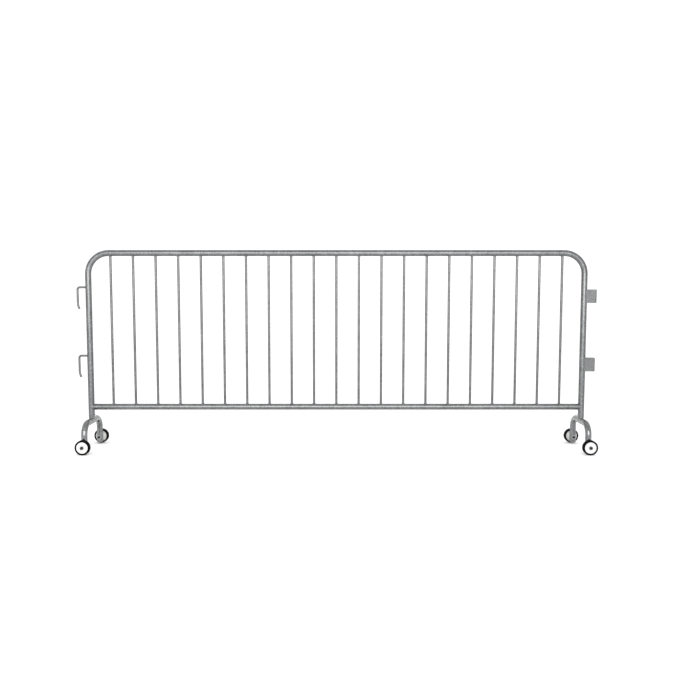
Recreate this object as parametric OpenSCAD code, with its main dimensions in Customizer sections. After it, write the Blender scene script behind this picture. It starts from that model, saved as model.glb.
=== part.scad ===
// Steel crowd control barrier on wheeled bridge feet.
// X runs along the barrier from the hooks to the receivers, -Y is the front and Z is up.
// The origin is the middle of the barrier on the ground.

/* [Frame] */
// Overall length across the two posts
frame_length = 2590.8; // [1800:0.1:3200]
// Overall height above the ground
frame_height = 1035; // [860:0.1:1300]
// Outside diameter of the frame tube
tube_od = 31.8; // [26:0.1:42]
// Wall of the frame tube
tube_wall = 1.65; // [1.2:0.05:2.5]
// Bend radius of the top corners, to the tube's centreline
corner_radius = 107; // [60:1:130]
// Height of the bottom rail's centreline above the bottom of the posts
rail_height = 57.1; // [46:0.1:150]

/* [Uprights] */
// Number of uprights between the posts
upright_count = 21; // [5:1:22]
// Outside diameter of an upright
upright_od = 12.7; // [9:0.1:20]
// Wall of an upright
upright_wall = 1.2; // [0.8:0.1:2]

/* [Hooks and receivers] */
// Diameter of the hook rod
hook_rod_d = 11; // [8:0.5:14]
// Distance of the hanging leg of a hook from the post's centreline
hook_reach = 57; // [48:0.5:75]
// Height of a hook from its arm's centreline to its tip
hook_height = 112; // [80:1:150]
// Bend radius of a hook, to the rod's centreline
hook_bend = 12; // [8:0.5:20]
// Bend radius of a hook's tip, which turns in to the post
hook_tip_bend = 70; // [40:1:90]
// Angle through which the tip turns in
hook_tip_angle = 28; // [10:1:32]
// Distance of the upper hook's arm below the top of the frame
upper_hook_drop = 191.3; // [160:0.1:260]
// Height of the lower hook's arm above the ground
lower_hook_level = 489.3; // [400:0.1:560]
// Distance from a hook's arm down to the rim of the receiver that it drops into
receiver_drop = 11; // [8:0.5:25]
// Height of a receiver's strap
receiver_height = 70; // [40:1:100]
// Width of a receiver across the barrier
receiver_depth = 31; // [25:0.5:32]
// Thickness of the receiver strap
receiver_plate = 4; // [3:0.5:6]
// Outside bend radius of the receiver strap
receiver_bend = 7; // [6.5:0.5:10]

/* [Feet] */
// Distance between the two legs of a foot, centre to centre
foot_spread = 260; // [200:1:400]
// Height of the foot's crown above the ground, to the tube's centreline
foot_height = 148.3; // [125:0.1:200]
// Bend radius of the foot, to the tube's centreline
foot_bend = 57; // [45:1:75]
// Outside diameter of the foot tube
foot_tube_od = 31.8; // [28:0.1:40]
// Wall of the foot tube
foot_tube_wall = 2.1; // [1.5:0.05:3]
// Distance that a leg reaches below the wheel's axle
leg_below_axle = 28; // [18:1:30]
// Length of the spigot inside the post
spigot_length = 60; // [35:1:100]
// Wall of the spigot
spigot_wall = 2.6; // [2:0.1:4]
// Diameter of the screw that holds the post on the spigot
foot_screw_d = 8; // [5:1:10]
// Height of that screw above the bottom of the post
foot_screw_height = 12; // [11:0.5:16]

/* [Wheels] */
// Diameter of a wheel over the tyre
wheel_d = 76.2; // [64:0.1:100]
// Width of a wheel
wheel_width = 22; // [16:0.5:35]
// Thickness of the tyre over the hub
tyre_thickness = 9.525; // [6:0.005:12]
// Width of the hub's flat rim, next to the tyre
hub_rim = 3.5; // [2:0.5:5]
// Diameter of the boss in the middle of the hub
boss_d = 33; // [24:0.5:38]
// Depth of the hub's dished face
face_recess = 2.5; // [0.5:0.1:4]
// Radius of the tyre's shoulders
tyre_shoulder = 2; // [1:0.1:5]
// Height of the rib that keeps the tyre on the hub
tyre_rib = 1.5; // [1:0.1:2]
// Width of that rib
tyre_rib_width = 9; // [5:0.5:12]
// Outside diameter of the bush in the hub
bush_od = 15; // [13:0.5:20]
// Diameter of the axle bolt
bolt_d = 9.525; // [8:0.005:10]
// Size of the bolt's head and nut across the flats
hex_size = 14.3; // [13:0.1:17]
// Height of the axle bolt's head
bolt_head = 6.2; // [5:0.1:8]
// Height of the lock nut
nut_height = 10; // [8:0.5:13]
// Length of the axle bolt past the lock nut
bolt_end = 1.5; // [0.5:0.1:6]
// Outside diameter of the washers
washer_od = 21; // [19:0.5:26]
// Thickness of a washer
washer_thickness = 1.7; // [1:0.1:3]
// Length of the spacer between the leg and the wheel
spacer_length = 4.2; // [2:0.1:15]
// Outside diameter of the spacer
spacer_od = 19; // [16:0.5:26]

/* [Fits] */
// Gap between pieces that are welded together
weld_gap = 0.2; // [0.1:0.05:0.5]
// Gap between a fastener and what it bears on
seat_gap = 0.1; // [0.05:0.05:0.3]
// Radial clearance of the spigot in the post
spigot_clearance = 0.3; // [0.1:0.05:0.5]
// Radial clearance of a fastener in its hole
hole_clearance = 0.25; // [0.1:0.05:0.5]
// Radial clearance of the axle bolt in the bush
running_clearance = 0.06; // [0.02:0.01:0.1]
// Play of a wheel along its axle, to each side
axial_play = 0.3; // [0.2:0.05:0.6]
// Gap between the pieces of one wheel
wheel_fit = 0.03; // [0.02:0.01:0.1]

/* [Hidden] */
$fn = 64;
// Places on the frame are whole hundredths, so that the bends and straights of its tube meet
function hundredth(x) = round(x * 100) / 100;
tube_r = tube_od / 2;
tube_bore_r = tube_r - tube_wall;
post_x = hundredth(frame_length / 2 - tube_r);
top_rail_z = hundredth(frame_height - tube_r);
foot_tube_r = foot_tube_od / 2;
post_bottom = hundredth(foot_height + foot_tube_r + weld_gap);
bottom_rail_z = hundredth(post_bottom + rail_height);

upright_r = upright_od / 2;
upright_pitch = 2 * post_x / (upright_count + 1);

hook_r = hook_rod_d / 2;
hook_leg = hook_height - hook_tip_bend * sin(hook_tip_angle);
upper_hook_z = frame_height - upper_hook_drop;
lower_hook_z = lower_hook_level;
receiver_reach = hook_reach + hook_r;
receiver_start = 8;

leg_y = foot_spread / 2;
axle_z = wheel_d / 2;
leg_bottom = axle_z - leg_below_axle;
spigot_r = tube_bore_r - spigot_clearance;
foot_screw_r = foot_screw_d / 2;
foot_screw_z = post_bottom + foot_screw_height;
screw_head_r = foot_screw_d * 0.875;
screw_head = foot_screw_d * 0.55;
screw_socket = foot_screw_d * 0.625;
screw_point = 2.5;

// Distances along an axle from the barrier's middle plane
leg_outer_y = leg_y + foot_tube_r;
leg_inner_y = leg_y - foot_tube_r;
spacer_y = leg_outer_y + seat_gap;
wheel_inner_y = spacer_y + spacer_length + axial_play;
wheel_y = wheel_inner_y + wheel_width / 2;
nut_washer_y = wheel_inner_y + wheel_width + axial_play;
nut_y = nut_washer_y + washer_thickness + seat_gap;
bolt_end_y = nut_y + nut_height + bolt_end;
head_washer_y = leg_inner_y - seat_gap - washer_thickness;
bolt_head_y = head_washer_y - seat_gap - bolt_head;

bolt_r = bolt_d / 2;
bolt_hole_r = bolt_r + hole_clearance;
hub_r = axle_z - tyre_thickness;
bush_r = bush_od / 2;
nut_hex = nut_height * 0.72;
nut_collar_r = hex_size * 0.44;

function upright_name(i) = str("upright_", i < 10 ? "0" : "", i);
ENDS = ["left", "right"];
CORNERS = ["front_left", "front_right", "rear_left", "rear_right"];
CORNER_PIECES = ["tyre", "hub", "bush", "axle_bolt", "spacer", "lock_nut"];

galvanised = [0.68, 0.69, 0.7];
zinc = [0.78, 0.79, 0.8];
black_steel = [0.13, 0.13, 0.14];
rubber = [0.06, 0.06, 0.06];
nylon = [0.95, 0.95, 0.94];
bronze = [0.62, 0.52, 0.36];

// Round bar bent into an inverted U in the XZ plane
module bent_u(half_width, bottom_z, crown_z, bend, r) {
    straight = half_width - bend;
    for (side = [0, 1])
        mirror([side, 0, 0]) {
            translate([half_width, 0, bottom_z])
                cylinder(h = crown_z - bend - bottom_z, r = r);
            translate([straight, 0, crown_z - bend])
                rotate([90, 0, 0])
                    rotate_extrude(angle = 90)
                        translate([bend, 0])
                            circle(r = r);
        }
    translate([-straight, 0, crown_z])
        rotate([0, 90, 0])
            cylinder(h = 2 * straight, r = r);
}

// Straight round bar along X, from x0 to x1
module bar_x(x0, x1, r) {
    translate([x0, 0, 0])
        rotate([0, 90, 0])
            cylinder(h = x1 - x0, r = r);
}

// Straight round bar along Y, from y0 to y1
module bar_y(y0, y1, r) {
    translate([0, y0, 0])
        rotate([-90, 0, 0])
            cylinder(h = y1 - y0, r = r);
}

// Outside of the frame tube, grown by a gap
module frame_outside(gap) {
    bent_u(post_x, post_bottom - 1, top_rail_z, corner_radius, tube_r + gap);
}

// Places its children on the left foot as drawn for the right one, or mirrored
module at_end(e) {
    mirror([e == "left" ? 1 : 0, 0, 0])
        children();
}

// Hole for a foot screw through the inner side of the right post
module foot_screw_hole(r) {
    translate([0, 0, foot_screw_z])
        bar_x(post_x - tube_r - 1, post_x, r);
}

module frame_tube() {
    color(galvanised)
        difference() {
            bent_u(post_x, post_bottom, top_rail_z, corner_radius, tube_r);
            bent_u(post_x, post_bottom - 1, top_rail_z, corner_radius, tube_bore_r);
            for (e = ENDS)
                at_end(e)
                    foot_screw_hole(foot_screw_r + hole_clearance);
        }
}

// Straight tube whose ends are coped to the posts
module bottom_rail() {
    color(galvanised)
        translate([0, 0, bottom_rail_z])
            difference() {
                bar_x(-post_x, post_x, tube_r);
                bar_x(-post_x - 1, post_x + 1, tube_bore_r);
                for (side = [-1, 1])
                    translate([side * post_x, 0, -tube_od])
                        cylinder(h = 2 * tube_od, r = tube_r + weld_gap);
            }
}

// Centreline height of the frame tube above a place along the barrier
function frame_z(x) =
    let (past = abs(x) - (post_x - corner_radius))
    past <= 0 ? top_rail_z : top_rail_z - corner_radius + sqrt(corner_radius ^ 2 - past ^ 2);

// Thin tube, coped to the bottom rail and to the frame above it
module upright(i) {
    x = -post_x + i * upright_pitch;
    color(galvanised)
        difference() {
            translate([x, 0, bottom_rail_z])
                cylinder(h = frame_z(x) - bottom_rail_z, r = upright_r);
            translate([x, 0, bottom_rail_z - 1])
                cylinder(h = frame_z(x) - bottom_rail_z + 2, r = upright_r - upright_wall);
            translate([x, 0, bottom_rail_z])
                bar_x(-upright_od, upright_od, tube_r + weld_gap);
            frame_outside(weld_gap);
        }
}

// Bent rod that hangs outside the left post, with its arm at height z
module hook(z) {
    color(galvanised)
        translate([-post_x, 0, z])
            mirror([1, 0, 0])
                difference() {
                    union() {
                        bar_x(tube_r / 2, hook_reach - hook_bend, hook_r);
                        translate([hook_reach - hook_bend, 0, -hook_bend])
                            rotate([90, 0, 0])
                                rotate_extrude(angle = 90)
                                    translate([hook_bend, 0])
                                        circle(r = hook_r);
                        translate([hook_reach, 0, -hook_leg])
                            cylinder(h = hook_leg - hook_bend, r = hook_r);
                        translate([hook_reach - hook_tip_bend, 0, -hook_leg])
                            rotate([-90, 0, 0])
                                rotate_extrude(angle = hook_tip_angle)
                                    translate([hook_tip_bend, 0])
                                        circle(r = hook_r);
                    }
                    translate([0, 0, -tube_od])
                        cylinder(h = 2 * tube_od, r = tube_r + weld_gap);
                }
}

// Outline of a receiver strap's outside or inside face, seen from above
module receiver_outline(reach, depth, bend) {
    translate([0, -depth / 2])
        square([reach - bend, depth]);
    translate([0, -depth / 2 + bend])
        square([reach, depth - 2 * bend]);
    for (side = [-1, 1])
        translate([reach - bend, side * (depth / 2 - bend)])
            circle(r = bend);
}

// Flat strap bent into a U outside the right post, with its rim at height z
module receiver(z) {
    color(galvanised)
        translate([post_x, 0, z - receiver_height])
            difference() {
                linear_extrude(receiver_height)
                    difference() {
                        receiver_outline(receiver_reach, receiver_depth, receiver_bend);
                        receiver_outline(
                            receiver_reach - receiver_plate,
                            receiver_depth - 2 * receiver_plate,
                            receiver_bend - receiver_plate
                        );
                        translate([receiver_start - receiver_depth, -receiver_depth])
                            square([receiver_depth, 2 * receiver_depth]);
                    }
                translate([0, 0, -1])
                    cylinder(h = receiver_height + 2, r = tube_r + weld_gap);
            }
}

module upper_hook() {
    hook(upper_hook_z);
}

module lower_hook() {
    hook(lower_hook_z);
}

module upper_receiver() {
    receiver(upper_hook_z - receiver_drop);
}

module lower_receiver() {
    receiver(lower_hook_z - receiver_drop);
}

// Tube bent into a low inverted U across the barrier, drilled for the axle bolts
module foot_bridge() {
    color(galvanised)
        translate([post_x, 0, 0])
            difference() {
                rotate([0, 0, 90])
                    bent_u(leg_y, leg_bottom, foot_height, foot_bend, foot_tube_r);
                rotate([0, 0, 90])
                    bent_u(leg_y, leg_bottom - 1, foot_height, foot_bend, foot_tube_r - foot_tube_wall);
                for (side = [-1, 1])
                    translate([0, side * leg_y, axle_z])
                        bar_y(-foot_tube_od, foot_tube_od, bolt_hole_r);
            }
}

// Stub inside the post, coped to the foot's crown and drilled for the screw
module foot_spigot() {
    color(galvanised)
        difference() {
            translate([post_x, 0, foot_height])
                cylinder(h = post_bottom - foot_height + spigot_length, r = spigot_r);
            translate([post_x, 0, foot_height - 1])
                cylinder(h = post_bottom - foot_height + spigot_length + 2, r = spigot_r - spigot_wall);
            translate([post_x, 0, foot_height])
                bar_y(-foot_tube_od, foot_tube_od, foot_tube_r + weld_gap);
            foot_screw_hole(foot_screw_r + hole_clearance);
        }
}

// Button-head screw through the inner side of the post into the spigot
module foot_screw() {
    bearing_x = post_x - tube_r - seat_gap;
    point_x = post_x - spigot_r + spigot_wall + screw_point;
    dome_r = (screw_head_r ^ 2 + screw_head ^ 2) / (2 * screw_head);
    color(zinc)
        translate([0, 0, foot_screw_z])
            difference() {
                union() {
                    bar_x(bearing_x - screw_head / 4, point_x, foot_screw_r);
                    intersection() {
                        bar_x(bearing_x - screw_head - 1, bearing_x, screw_head_r);
                        translate([bearing_x - screw_head + dome_r, 0, 0])
                            sphere(r = dome_r);
                    }
                }
                translate([bearing_x - screw_head - 1, 0, 0])
                    rotate([0, 90, 0])
                        cylinder(h = screw_head * 0.6 + 1, d = screw_socket / cos(30), $fn = 6);
            }
}

// Places its children at a corner: drawn with the axle along +Z, from the middle plane outward
module at_corner(c) {
    left = c == "front_left" || c == "rear_left";
    front = c == "front_left" || c == "front_right";
    translate([left ? -post_x : post_x, 0, axle_z])
        rotate([front ? 90 : -90, 0, 0])
            children();
}

// Ring around the axle, from y0 to y1
module ring(y0, y1, outer_r, inner_r) {
    translate([0, 0, y0])
        difference() {
            cylinder(h = y1 - y0, r = outer_r);
            translate([0, 0, -1])
                cylinder(h = y1 - y0 + 2, r = inner_r);
        }
}

// Hexagon prism whose far end is chamfered
module hexagon(y0, y1) {
    corner_r = hex_size / 2 / cos(30);
    chamfer = corner_r - hex_size / 2;
    intersection() {
        translate([0, 0, y0])
            cylinder(h = y1 - y0, r = corner_r, $fn = 6);
        union() {
            translate([0, 0, y0 - 1])
                cylinder(h = y1 - y0 + 1 - chamfer, r = corner_r + 1);
            translate([0, 0, y1 - chamfer])
                cylinder(h = chamfer, r1 = corner_r + 0.5, r2 = hex_size / 2);
        }
    }
}

module tyre() {
    color(rubber)
        translate([0, 0, wheel_y])
            rotate_extrude()
                difference() {
                    union() {
                        translate([0, -wheel_width / 2])
                            square([axle_z - tyre_shoulder, wheel_width]);
                        translate([0, -wheel_width / 2 + tyre_shoulder])
                            square([axle_z, wheel_width - 2 * tyre_shoulder]);
                        for (side = [-1, 1])
                            translate([axle_z - tyre_shoulder, side * (wheel_width / 2 - tyre_shoulder)])
                                circle(r = tyre_shoulder);
                    }
                    hub_section(wheel_fit, wheel_width + 2);
                }
}

// Half section of the hub's outside, with the rib that holds the tyre
module hub_section(gap, width) {
    translate([0, -width / 2])
        square([hub_r + gap, width]);
    translate([0, -tyre_rib_width / 2 - gap])
        square([hub_r + tyre_rib + gap, tyre_rib_width + 2 * gap]);
}

module hub() {
    color(nylon)
        translate([0, 0, wheel_y])
            rotate_extrude()
                difference() {
                    hub_section(0, wheel_width);
                    translate([0, -wheel_width])
                        square([bush_r + wheel_fit, 2 * wheel_width]);
                    for (side = [0, 1])
                        mirror([0, side])
                            translate([boss_d / 2, wheel_width / 2 - face_recess])
                                square([hub_r - hub_rim - boss_d / 2, face_recess + 1]);
                }
}

module bush() {
    color(bronze)
        ring(wheel_inner_y, wheel_inner_y + wheel_width, bush_r, bolt_r + running_clearance);
}

module axle_bolt() {
    color(black_steel) {
        translate([0, 0, bolt_head_y + bolt_head])
            mirror([0, 0, 1])
                hexagon(0, bolt_head);
        translate([0, 0, bolt_head_y + bolt_head / 2])
            cylinder(h = bolt_end_y - bolt_head_y - bolt_head / 2, r = bolt_r);
    }
}

module spacer() {
    color(zinc)
        ring(spacer_y, spacer_y + spacer_length, spacer_od / 2, bolt_hole_r);
}

// Hexagon nut with a round collar that holds its locking ring
module lock_nut() {
    color(black_steel)
        difference() {
            union() {
                hexagon(nut_y, nut_y + nut_hex);
                translate([0, 0, nut_y + nut_hex / 2])
                    cylinder(h = nut_height - nut_hex / 2, r = nut_collar_r);
            }
            translate([0, 0, nut_y - 1])
                cylinder(h = nut_height + 2, r = bolt_r + wheel_fit);
        }
}

module washers(y0) {
    color(zinc)
        for (c = CORNERS)
            at_corner(c)
                ring(y0, y0 + washer_thickness, washer_od / 2, bolt_hole_r);
}

module axle_head_washers() {
    washers(head_washer_y);
}

module axle_nut_washers() {
    washers(nut_washer_y);
}

frame_tube();
bottom_rail();
upper_hook();
lower_hook();
upper_receiver();
lower_receiver();
for (i = [1 : upright_count]) {
    upright(i);
}
for (e = ENDS) {
    at_end(e) foot_bridge();
    at_end(e) foot_spigot();
    at_end(e) foot_screw();
}
for (c = CORNERS) {
    at_corner(c) tyre();
    at_corner(c) hub();
    at_corner(c) bush();
    at_corner(c) axle_bolt();
    at_corner(c) spacer();
    at_corner(c) lock_nut();
}
axle_head_washers();
axle_nut_washers();
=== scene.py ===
import math

import bmesh
import bpy
from mathutils import Matrix, Vector


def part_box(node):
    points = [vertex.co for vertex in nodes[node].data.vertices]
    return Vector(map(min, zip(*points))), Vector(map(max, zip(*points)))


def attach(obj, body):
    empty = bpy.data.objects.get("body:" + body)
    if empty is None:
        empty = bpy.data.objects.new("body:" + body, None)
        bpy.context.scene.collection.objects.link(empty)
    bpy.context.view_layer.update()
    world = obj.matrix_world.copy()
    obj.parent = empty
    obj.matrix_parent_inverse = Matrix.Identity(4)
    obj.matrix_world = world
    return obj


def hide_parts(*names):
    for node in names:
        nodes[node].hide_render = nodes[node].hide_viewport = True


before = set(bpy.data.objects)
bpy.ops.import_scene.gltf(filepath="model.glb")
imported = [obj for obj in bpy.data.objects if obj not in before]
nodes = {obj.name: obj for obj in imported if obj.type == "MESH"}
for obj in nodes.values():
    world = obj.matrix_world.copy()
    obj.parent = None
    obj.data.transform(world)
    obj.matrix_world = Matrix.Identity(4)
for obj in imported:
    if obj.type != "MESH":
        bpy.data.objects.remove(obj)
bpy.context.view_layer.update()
print("frame loaded:", len(nodes), "nodes")


class Wire:
    # one socket of a shader tree, with the usual sums on it
    def __init__(self, graph, socket):
        self.graph = graph
        self.socket = socket

    def sum(self, operation, *values):
        settings = {"operation": operation}
        return self.graph.node("ShaderNodeMath", settings, dict(enumerate(values)))

    def __add__(self, other):
        return self.sum("ADD", self, other)

    def __radd__(self, other):
        return self.sum("ADD", other, self)

    def __sub__(self, other):
        return self.sum("SUBTRACT", self, other)

    def __rsub__(self, other):
        return self.sum("SUBTRACT", other, self)

    def __mul__(self, other):
        return self.sum("MULTIPLY", self, other)

    def __rmul__(self, other):
        return self.sum("MULTIPLY", other, self)

    def between(self, low, high, newLow=0.0, newHigh=1.0):
        # eases from newLow to newHigh as the value goes from low to high
        settings = {"interpolation_type": "SMOOTHSTEP"}
        values = {
            "Value": self, "From Min": low, "From Max": high,
            "To Min": newLow, "To Max": newHigh,
        }
        return self.graph.node("ShaderNodeMapRange", settings, values)


class Finish:
    # a material with one principled shader; constants go straight to its sockets
    def __init__(self, name, constants):
        self.material = bpy.data.materials.new(name)
        self.material.use_nodes = True
        self.tree = self.material.node_tree
        self.shader = self.tree.nodes["Principled BSDF"]
        for key, value in constants.items():
            self.shader.inputs[key].default_value = value
        self.place = self.node("ShaderNodeTexCoord", {}, {}, "Object")

    def node(self, kind, settings, values, output=0):
        made = self.tree.nodes.new(kind)
        for key, value in settings.items():
            setattr(made, key, value)
        for key, value in values.items():
            if isinstance(value, Wire):
                self.tree.links.new(value.socket, made.inputs[key])
            else:
                made.inputs[key].default_value = value
        return Wire(self, made.outputs[output])

    def feed(self, socketName, wire):
        self.tree.links.new(wire.socket, self.shader.inputs[socketName])

    def stretched(self, scale):
        values = {"Vector": self.place, "Scale": scale}
        return self.node("ShaderNodeMapping", {}, values)

    def noise(self, scale, detail=2.0, rough=0.5, vector=None):
        values = {
            "Vector": vector or self.place, "Scale": scale,
            "Detail": detail, "Roughness": rough,
        }
        return self.node("ShaderNodeTexNoise", {}, values)

    def cells(self, scale, output="Distance", feature="F1"):
        values = {"Vector": self.place, "Scale": scale}
        return self.node("ShaderNodeTexVoronoi", {"feature": feature}, values, output)

    def blend(self, factor, dark, light):
        values = {0: factor, 6: dark, 7: light}  # the colour sockets of a mix node
        return self.node("ShaderNodeMix", {"data_type": "RGBA"}, values, 2)

    def bump(self, height, strength, distance, under=None):
        values = {"Height": height, "Strength": strength, "Distance": distance}
        if under:
            values["Normal"] = under
        return self.node("ShaderNodeBump", {}, values)


def grey(value, tint=0.0):
    # a grey that leans to blue with tint
    return (value * (1 - tint), value, value * (1 + tint), 1)


# Hot-dip zinc. The spangle is crystals per metre, and a noise is its scale, detail and
# roughness. Shades go from dark to light, and a bump is its strength and depth.
steelLook = {
    "metallic": 0.9, "shades": (0.088, 0.219), "tints": (0.02, 0.015), "middle": 0.5,
    "spangle": 170, "spangleShare": 0.3,
    "cloud": (16, 4, 0.6), "cloudShare": 0.6,
    "runs": (1.0, 3, 0.55), "runStretch": (70, 70, 9), "runShare": 0.6,
    "roughness": (0.2, 0.36), "roughSpan": (0.2, 0.8), "roughSpangle": 0.35, "roughCloud": 0.65,
    "cloudBump": (0.35, 0.0015), "pits": (900, 2), "pitBump": (0.25, 0.0002),
    "borderWidth": 0.12, "borderBump": (0.12, 0.0001),
}
barLookPaintedShade = {**steelLook, "middle": 0.38}  # painted shade: the thin uprights are made darker than the tubes, standing for the shade across their narrow width
footLook = {**steelLook, "shades": (0.074, 0.307), "roughness": (0.1, 0.24)}
strapLook = {**steelLook, "shades": (0.093, 0.186), "roughness": (0.34, 0.5)}


def makeGalvanised(name, look):
    # small crystals of slightly different grey under broad clouds and upright runs
    steel = Finish(name, {"Metallic": look["metallic"]})
    crystal = steel.node("ShaderNodeSeparateColor", {}, {0: steel.cells(look["spangle"], "Color")})
    cloud = steel.noise(*look["cloud"])
    runs = steel.noise(*look["runs"], steel.stretched(look["runStretch"]))
    tone = look["middle"] + (crystal - 0.5) * look["spangleShare"]
    tone = tone + (cloud - 0.5) * look["cloudShare"] + (runs - 0.5) * look["runShare"]
    shades = [grey(*pair) for pair in zip(look["shades"], look["tints"])]
    steel.feed("Base Color", steel.blend(tone.between(0, 1), *shades))
    rough = crystal * look["roughSpangle"] + cloud * look["roughCloud"]
    steel.feed("Roughness", rough.between(*look["roughSpan"], *look["roughness"]))
    border = steel.cells(look["spangle"], "Distance", "DISTANCE_TO_EDGE")
    border = border.between(0, look["borderWidth"])
    ripple = steel.bump(cloud, *look["cloudBump"])
    pits = steel.bump(steel.noise(*look["pits"]), *look["pitBump"], ripple)
    steel.feed("Normal", steel.bump(border, *look["borderBump"], pits))
    return steel.material


# The other finishes: a mottled colour, an uneven roughness and a fine grain. A span is
# the part of its noise over which the shades or the roughness change.
zincLook = {
    "constants": {"Metallic": 0.9}, "mottle": (120, 3), "span": (0.3, 0.7),
    "shades": (grey(0.42, 0.02), grey(0.6, 0.01)),
    "roughNoise": (400, 2), "roughSpan": (0.3, 0.7), "roughness": (0.22, 0.4),
    "grain": (1500, 2), "grainBump": (0.2, 0.0001),
}
blackLook = {
    "constants": {"Metallic": 0.7}, "mottle": (220, 3), "span": (0.35, 0.75),
    "shades": (grey(0.012), grey(0.05, 0.02)),
    "roughNoise": (220, 3), "roughSpan": (0.2, 0.8), "roughness": (0.3, 0.5),
    "grain": (1600, 2), "grainBump": (0.25, 0.0001),
}
rubberLook = {
    "constants": {"Metallic": 0.0, "Specular IOR Level": 0.05},
    "mottle": (90, 4, 0.6), "span": (0.45, 0.85), "shades": (grey(0.002), grey(0.008, -0.03)),
    "roughNoise": (300, 2), "roughSpan": (0.3, 0.7), "roughness": (0.6, 0.78),
    "grain": (2200, 2), "grainBump": (0.35, 0.00012),
}
nylonLook = {
    "constants": {"Metallic": 0.0}, "mottle": (45, 3), "span": (0.3, 0.7),
    "shades": ((0.57, 0.57, 0.555, 1), (0.64, 0.64, 0.63, 1)),
    "roughNoise": (260, 2), "roughSpan": (0.3, 0.7), "roughness": (0.3, 0.42),
    "grain": (700, 2), "grainBump": (0.12, 0.0001),
}
bronzeLook = {
    "constants": {"Metallic": 0.9}, "mottle": (900, 3),
    "shades": ((0.2, 0.12, 0.05, 1), (0.45, 0.31, 0.15, 1)),
    "roughNoise": (900, 3), "roughSpan": (0.3, 0.7), "roughness": (0.35, 0.55),
    "grain": (900, 3), "grainBump": (0.3, 0.0001),
}
weldMetalLook = {
    "constants": {"Metallic": 0.85}, "mottle": (240, 3), "span": (0.3, 0.7),
    "shades": (grey(0.1), grey(0.25, 0.01)),
    "roughNoise": (240, 3), "roughSpan": (0.2, 0.8), "roughness": (0.36, 0.55),
    "grain": (700, 2), "grainBump": (0.4, 0.0003),
}


def makeMottled(name, look):
    finish = Finish(name, look["constants"])
    mottle = finish.noise(*look["mottle"])
    if "span" in look:
        mottle = mottle.between(*look["span"])
    finish.feed("Base Color", finish.blend(mottle, *look["shades"]))
    rough = finish.noise(*look["roughNoise"])
    finish.feed("Roughness", rough.between(*look["roughSpan"], *look["roughness"]))
    grain = finish.noise(*look["grain"])
    finish.feed("Normal", finish.bump(grain, *look["grainBump"]))
    return finish.material


finishes = {
    "tube": makeGalvanised("galvanisedTube", steelLook),
    # the uprights' finish is darkened with painted shade
    "bar": makeGalvanised("galvanisedBarPaintedShade", barLookPaintedShade),
    "foot": makeGalvanised("galvanisedFoot", footLook),
    "strap": makeGalvanised("galvanisedStrap", strapLook),
    "zinc": makeMottled("brightZinc", zincLook),
    "black": makeMottled("blackOxide", blackLook),
    "rubber": makeMottled("blackRubber", rubberLook),
    "nylon": makeMottled("whiteNylon", nylonLook),
    "bronze": makeMottled("oiledBronze", bronzeLook),
    "weld": makeMottled("galvanisedWeld", weldMetalLook),
}
# the first word that a node's name holds gives its finish, and the rest are tube
nodeFinish = {
    "washers": "zinc", "spacer": "zinc", "screw": "zinc", "bolt": "black", "nut": "black",
    "upright": "bar", "bridge": "foot", "spigot": "foot", "receiver": "strap", "hook": "strap",
    "tyre": "rubber", "hub": "nylon", "bush": "bronze",
}
for nodeName, node in nodes.items():
    words = [word for word in nodeFinish if word in nodeName]
    node.data.materials.clear()
    node.data.materials.append(finishes[nodeFinish[words[0]] if words else "tube"])
print("finishes made:", len(finishes))


def addPiece(name, mesh, finish, body, sharpFrom, mergeWithin=1e-6):
    bmesh.ops.remove_doubles(mesh, verts=mesh.verts, dist=mergeWithin)
    bmesh.ops.recalc_face_normals(mesh, faces=mesh.faces)
    data = bpy.data.meshes.new(name)
    mesh.to_mesh(data)
    mesh.free()
    for face in data.polygons:
        face.use_smooth = True
    data.set_sharp_from_angle(angle=math.radians(sharpFrom))
    data.materials.append(finishes[finish])
    piece = bpy.data.objects.new(name, data)
    bpy.context.scene.collection.objects.link(piece)
    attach(piece, body)
    return piece


def rounded(corners, steps):
    # an outline of (radius, height) points from corners of (radius, height, fillet)
    outline = []
    for number, (x, y, fillet) in enumerate(corners):
        here = Vector((x, y))
        if not fillet:
            outline.append(here)
            continue
        back = (Vector(corners[number - 1][:2]) - here).normalized()
        ahead = (Vector(corners[(number + 1) % len(corners)][:2]) - here).normalized()
        half = back.angle(ahead) / 2
        centre = here + (back + ahead).normalized() * (fillet / math.sin(half))
        start = here + back * (fillet / math.tan(half)) - centre
        end = here + ahead * (fillet / math.tan(half)) - centre
        for step in range(steps + 1):
            outline.append(centre + start.lerp(end, step / steps).normalized() * fillet)
    return outline


def spun(outline, steps):
    # a closed ring about Z
    mesh = bmesh.new()
    points = [mesh.verts.new((point.x, 0, point.y)) for point in outline]
    rim = [mesh.edges.new((points[i - 1], points[i])) for i in range(len(points))]
    bmesh.ops.spin(
        mesh, geom=points + rim, cent=(0, 0, 0), axis=(0, 0, 1), angle=math.tau,
        steps=steps, use_merge=True,
    )
    return mesh


def joinTo(whole, part, matrix):
    # adds a small mesh to a larger one, moved into place
    bmesh.ops.transform(part, verts=part.verts, matrix=matrix)
    data = bpy.data.meshes.new("bead")
    part.to_mesh(data)
    part.free()
    whole.from_mesh(data)
    bpy.data.meshes.remove(data)


def halfSize(nodeName, axis):
    low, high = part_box(nodeName)
    return (getattr(high, axis) - getattr(low, axis)) / 2


# centre lines and radii of the tubes, taken from the frame
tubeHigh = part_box("frame_tube")[1]
railLow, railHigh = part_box("bottom_rail")
tubeR = tubeHigh.y
postX = tubeHigh.x - tubeR
topZ = tubeHigh.z - tubeR
railZ = (railLow.z + railHigh.z) / 2
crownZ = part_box("left_foot_bridge")[1].z - tubeR
barNames = sorted(name for name in nodes if name.startswith("upright_"))
barX = [(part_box(name)[0].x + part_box(name)[1].x) / 2 for name in barNames]
barR = halfSize(barNames[0], "x")
stubR = halfSize("left_foot_spigot", "x")
hookR = halfSize("upper_hook", "y")

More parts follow.
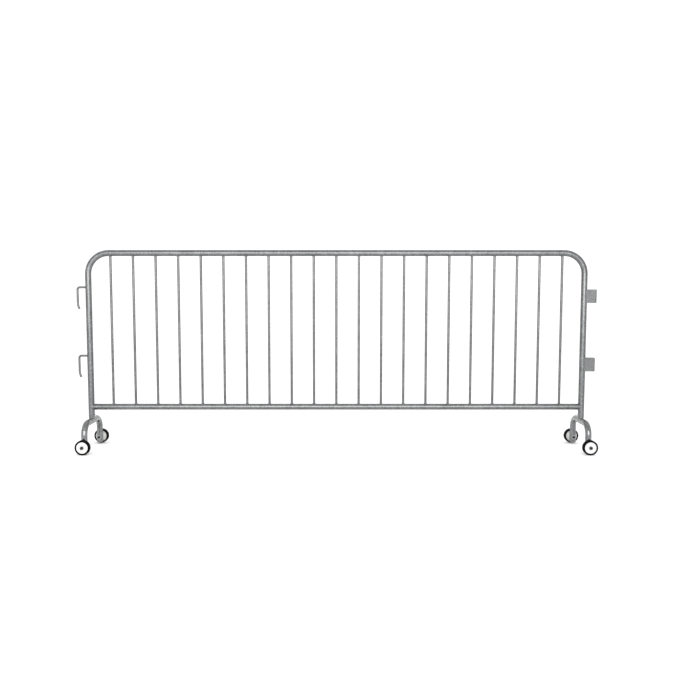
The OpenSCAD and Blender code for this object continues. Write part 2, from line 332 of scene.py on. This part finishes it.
# round welds, in metres; the phases start each bead's ripples at another place
weldLook = {
    "bead": 0.0017, "ripple": 0.00035, "ripples": 26, "sides": 8, "steps": 40,
    "bottomPhase": 1.7, "topPhase": 2.3, "sharpFrom": 60,
}
fineLook = {**weldLook, "bead": 0.0012}
railRing = 0.999 * tubeR  # just inside the post, which is as thick as the rail


def saddleBead(whole, look, place, turn, ringR, phase):
    # a ring of weld of radius ringR round what stands on a tube of the frame
    circle = []
    for step in range(look["sides"]):
        turned = math.tau * step / look["sides"]
        across, up = look["bead"] * math.cos(turned), look["bead"] * math.sin(turned)
        circle.append(Vector((ringR + across, up)))
    bead = spun(circle, look["steps"])
    for v in bead.verts:
        around = math.atan2(v.co.y, v.co.x)
        swell = 1 + look["ripple"] / look["bead"] * math.sin(look["ripples"] * around + phase)
        centre = Vector((math.cos(around) * ringR, math.sin(around) * ringR, 0))
        v.co = centre + (v.co - centre) * swell
        v.co.z += math.sqrt(max(tubeR ** 2 - (math.sin(around) * ringR) ** 2, 0))
    joinTo(whole, bead, Matrix.Translation(place) @ turn.to_4x4())


upward = Matrix.Identity(3)
downward = Matrix.Rotation(math.pi, 3, "X")
quarterTurn = Matrix.Rotation(math.pi / 2, 3, "Z")  # for a tube along Y or Z
toLeft = Matrix.Rotation(-math.pi / 2, 3, "Y") @ quarterTurn
toRight = Matrix.Rotation(math.pi / 2, 3, "Y") @ quarterTurn

bottomWelds = bmesh.new()
topWelds = bmesh.new()
for number, x in enumerate(barX):
    bottomPhase = number * weldLook["bottomPhase"]
    topPhase = number * weldLook["topPhase"]
    saddleBead(bottomWelds, weldLook, Vector((x, 0, railZ)), upward, barR, bottomPhase)
    saddleBead(topWelds, weldLook, Vector((x, 0, topZ)), downward, barR, topPhase)

# the rail's ends, the stubs on the feet and the hooks' roots
frameWelds = bmesh.new()
for side, inward in ((-1, toRight), (1, toLeft)):
    x = side * postX
    saddleBead(frameWelds, weldLook, Vector((x, 0, railZ)), inward, railRing, side)
    saddleBead(frameWelds, fineLook, Vector((x, 0, crownZ)), quarterTurn, stubR, 2 * side)
for name in ("upper_hook", "lower_hook"):
    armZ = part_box(name)[1].z - hookR
    saddleBead(frameWelds, weldLook, Vector((-postX, 0, armZ)), toLeft, hookR, armZ)

# a seam down each side of a receiver: inset and start place it, blunt and tip round its ends
seamLook = {
    "bead": 0.0021, "ripple": 0.00035, "pitch": 0.0023, "sides": 8, "cuts": 120,
    "inset": 0.0012, "start": 0.0068, "endGap": 0.001, "phase": 90,
    "blunt": 24, "tip": 0.04,
}


def seamBead(whole, look, low, high, phase):
    length = (high - low).length
    bead = bmesh.new()
    bmesh.ops.create_cone(
        bead, cap_ends=True, segments=look["sides"], radius1=look["bead"],
        radius2=look["bead"], depth=length,
    )
    lengthwise = [edge for edge in bead.edges if edge.calc_length() > length / 2]
    bmesh.ops.subdivide_edges(bead, edges=lengthwise, cuts=look["cuts"])
    for v in bead.verts:
        along = math.tau * v.co.z / look["pitch"]
        swell = 1 + look["ripple"] / look["bead"] * math.sin(along + phase)
        taper = math.sqrt(max(1 - abs(2 * v.co.z / length) ** look["blunt"], look["tip"]))
        v.co.x *= swell * taper
        v.co.y *= swell * taper
    joinTo(whole, bead, Matrix.Translation((low + high) / 2))


seams = bmesh.new()
for name in ("upper_receiver", "lower_receiver"):
    low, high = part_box(name)
    x = postX + seamLook["start"]
    foot, head = low.z + seamLook["endGap"], high.z - seamLook["endGap"]
    for y in (low.y + seamLook["inset"], high.y - seamLook["inset"]):
        seamBead(seams, seamLook, Vector((x, y, foot)), Vector((x, y, head)), seamLook["phase"] * y)

welds = {
    "frame_welds": frameWelds, "receiver_welds": seams,
    "bar_bottom_welds": bottomWelds, "bar_top_welds": topWelds,
}
for name, mesh in welds.items():
    addPiece(name, mesh, "weld", "frame", weldLook["sharpFrom"])
print("welds made:", len(welds))

# wheels, in metres; grooveIn is the radius of the ring groove in the tyre's side
tyreLook = {
    "steps": 112, "filletSteps": 6, "gap": 0.00003, "lip": 0.0007, "lipRound": 0.0007 / 3,
    "grooveIn": 0.0322, "groove": 0.0009, "grooveSlope": 0.000225, "grooveDeep": 0.0004,
    "shoulder": 0.002, "ridge": 0.00012, "ridgeFoot": 0.00036, "sharpFrom": 30,
}
hubLook = {
    "steps": 112, "filletSteps": 4, "gap": 0.00003, "boss": 0.0165, "rim": 0.0035,
    "dish": 0.0025, "edge": 0.0005, "root": 0.0009, "rib": 0.0015, "sharpFrom": 30,
}


def mirrored(corners):
    # the outline closed by its own mirror image across height 0
    return corners + [(x, -y, fillet) for x, y, fillet in reversed(corners)]


def makeTyre(look, outer, inner, half):
    crown = outer - look["ridge"]
    deep = half - look["grooveDeep"]
    grooveOut = look["grooveIn"] + look["groove"]
    corners = [
        (inner, half - look["lip"], 0), (inner + look["lip"], half, look["lipRound"]),
        (look["grooveIn"], half, 0), (look["grooveIn"] + look["grooveSlope"], deep, 0),
        (grooveOut, deep, 0), (grooveOut + look["grooveSlope"], half, 0),
        (crown, half, look["shoulder"]), (crown, look["ridgeFoot"], 0), (outer, look["ridge"], 0),
    ]
    return spun(rounded(mirrored(corners), look["filletSteps"]), look["steps"])


def makeHub(look, outer, inner, half):
    floor = half - look["dish"]
    rim = outer - look["rim"]
    corners = [
        (outer, half, look["edge"]), (rim, half, look["edge"]), (rim, floor, look["root"]),
        (look["boss"], floor, look["root"]), (look["boss"], half, look["edge"]), (inner, half, 0),
    ]
    return spun(rounded(mirrored(corners), look["filletSteps"]), look["steps"])


wheelNames = ("front_left", "front_right", "rear_left", "rear_right")
for wheel in wheelNames:
    low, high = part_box(wheel + "_tyre")
    half = halfSize(wheel + "_tyre", "y")
    outer = halfSize(wheel + "_tyre", "z")
    bushR = halfSize(wheel + "_bush", "z")
    hubR = halfSize(wheel + "_hub", "z") - hubLook["rib"]  # the hidden rib is left out
    turn = math.pi / 2 if wheel.startswith("front") else -math.pi / 2
    place = Matrix.Translation((low + high) / 2) @ Matrix.Rotation(turn, 4, "X")
    tyre = makeTyre(tyreLook, outer, hubR + tyreLook["gap"], half)
    hub = makeHub(hubLook, hubR, bushR + hubLook["gap"], half)
    for part, mesh, look, finish, slotName in (
        ("tyre", tyre, tyreLook, "rubber", "tyre_rubber"),
        ("hub", hub, hubLook, "nylon", "hub_plastic"),
    ):
        bmesh.ops.transform(mesh, verts=mesh.verts, matrix=place)
        name, body = f"{wheel}_{part}_moulded", f"{wheel}_wheel"
        piece = addPiece(name, mesh, finish, body, look["sharpFrom"])
        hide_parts(f"{wheel}_{part}")
print("wheels made:", len(wheelNames))

# place and farthest in metres, down in radians, lens and sensor in millimetres
camera = {
    "place": (0, -4.0406, 0.8566), "down": 0.0834, "lens": 40.124, "sensor": 36,
    "shift": 0.0195, "farthest": 200,
}
lens = bpy.data.cameras.new("camera")
lens.lens = camera["lens"]
lens.sensor_width = camera["sensor"]
lens.shift_x = camera["shift"]
lens.clip_end = camera["farthest"]
viewer = bpy.data.objects.new("camera", lens)
viewer.location = camera["place"]
viewer.rotation_euler = (math.pi / 2 - camera["down"], 0, 0)
bpy.context.scene.collection.objects.link(viewer)
bpy.context.scene.camera = viewer

studio = {
    "world": 1.2, "floorHalf": 60, "floorRoughness": 0.9, "floorShades": (0.95, 0.97),
    "floorNoise": (3, 3),
}
world = bpy.data.worlds.new("studio")
world.use_nodes = True
background = world.node_tree.nodes["Background"]
background.inputs["Color"].default_value = (1, 1, 1, 1)
background.inputs["Strength"].default_value = studio["world"]
bpy.context.scene.world = world

floorMesh = bmesh.new()
bmesh.ops.create_grid(floorMesh, x_segments=1, y_segments=1, size=studio["floorHalf"])
floorData = bpy.data.meshes.new("floor")
floorMesh.to_mesh(floorData)
floorMesh.free()
floor = bpy.data.objects.new("floor", floorData)
bpy.context.scene.collection.objects.link(floor)
paper = Finish("paleFloor", {"Roughness": studio["floorRoughness"]})
paperShades = [grey(shade) for shade in studio["floorShades"]]
paper.feed("Base Color", paper.blend(paper.noise(*studio["floorNoise"]), *paperShades))
floorData.materials.append(paper.material)

# the lamp hangs on the camera, so each view is lit from its own front
keyLamp = {"place": (0, 0.7, 0.6), "aim": (0, 0, -4), "size": (5.4, 2.4), "power": 185}
key = bpy.data.lights.new("key", "AREA")
key.shape = "RECTANGLE"
key.size, key.size_y = keyLamp["size"]
key.energy = keyLamp["power"]
holder = bpy.data.objects.new("key", key)
bpy.context.scene.collection.objects.link(holder)
holder.parent = viewer
holder.location = keyLamp["place"]
aim = Vector(keyLamp["aim"]) - Vector(keyLamp["place"])
holder.rotation_euler = aim.to_track_quat("-Z", "Y").to_euler()

bpy.context.scene.view_settings.view_transform = "Standard"
print("studio set")
